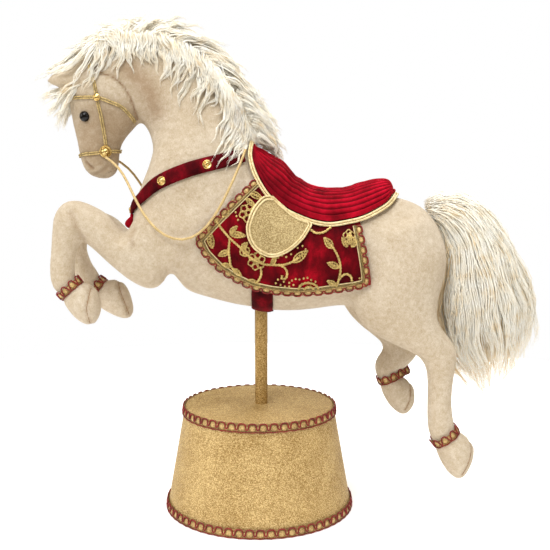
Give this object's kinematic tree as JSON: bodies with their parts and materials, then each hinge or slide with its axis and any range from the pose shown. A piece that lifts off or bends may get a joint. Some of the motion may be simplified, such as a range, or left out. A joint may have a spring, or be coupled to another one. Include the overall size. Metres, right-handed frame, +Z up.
{
  "type": "decorative carousel horse figure",
  "caption": "Plush-covered prancing carousel horse with fur mane and tail, velvet saddle, corded blanket and bridle, held by a pole on a tapered glitter drum.",
  "frame": {"origin": "centre of the drum's underside, on the surface the figure stands on", "axes": "+Z up along the pole; the horse faces -X and its left side is at -Y"},
  "size_m": [0.4833, 0.1932, 0.4869],
  "materials": {
    "cream_plush": "short soft pile, slightly mottled",
    "ivory_fur": "long wavy pile",
    "red_velvet": "velvet",
    "gold_cord": "twisted metallic thread",
    "gold_metal": "polished",
    "gold_glitter": "fine glitter coating",
    "red_gold_braid": "looped gimp braid",
    "black_glass": "gloss"
  },
  "bodies": {
    "root": {"blanket": "red_velvet", "browband": "gold_cord", "chest_tassel": "red_velvet", "collar": "red_velvet", "crownpiece": "gold_cord", "drum": "gold_glitter", "drum_foot_trim": "red_gold_braid", "drum_top_trim": "red_gold_braid", "front_stud": "gold_metal", "girth": "red_velvet", "horse_body": "cream_plush", "left_bit_rosette": "gold_metal", "left_brow_rosette": "gold_metal", "left_cheekpiece": "gold_cord", "left_eye": "black_glass", "left_flap": "gold_glitter", "left_fore_ankle_braid": "red_gold_braid", "left_hind_ankle_braid": "red_gold_braid", "left_rein": "gold_cord", "left_stud_1": "gold_metal", "left_stud_2": "gold_metal", "mane": "ivory_fur", "noseband": "gold_cord", "pole": "gold_glitter", "right_bit_rosette": "gold_metal", "right_brow_rosette": "gold_metal", "right_cheekpiece": "gold_cord", "right_eye": "black_glass", "right_flap": "gold_glitter", "right_fore_ankle_braid": "red_gold_braid", "right_hind_ankle_braid": "red_gold_braid", "right_rein": "gold_cord", "right_stud_1": "gold_metal", "right_stud_2": "gold_metal", "saddle": "red_velvet", "saddle_piping": "gold_cord", "tail": "ivory_fur"}
  },
  "joints": []
}
